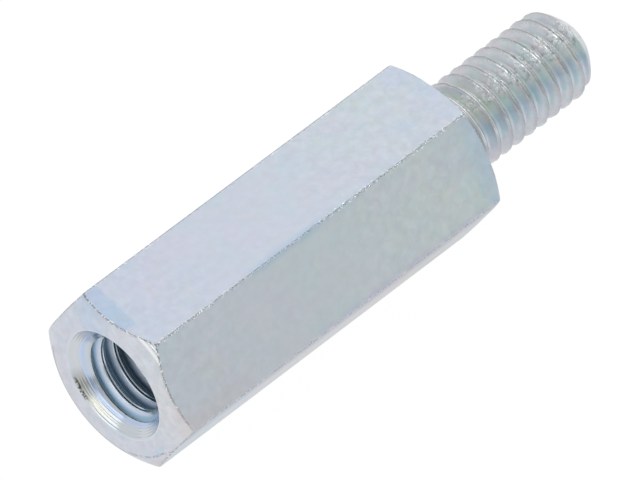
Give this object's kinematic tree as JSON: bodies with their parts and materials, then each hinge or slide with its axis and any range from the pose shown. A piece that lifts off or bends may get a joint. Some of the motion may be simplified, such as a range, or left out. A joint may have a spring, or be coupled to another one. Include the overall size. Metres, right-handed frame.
{
  "type": "hex standoff",
  "caption": "Hexagonal threaded spacer with a screw stud at one end and a tapped hole at the other, for holding a board or panel off its base.",
  "frame": {"origin": "on the axis, in the plane of the shoulder that the stud stands on", "axes": "+X along the axis, from the body out through the stud's tip; +Z square to two opposite flats of the hexagon, upwards when the part lies on its lower flat; +Y across two opposite corners"},
  "size_m": [0.026, 0.008, 0.007],
  "materials": {
    "zinc_plated_steel": "bright zinc plate with a clear blue passivate, satin"
  },
  "bodies": {
    "root": {"standoff": "zinc_plated_steel"}
  },
  "joints": []
}
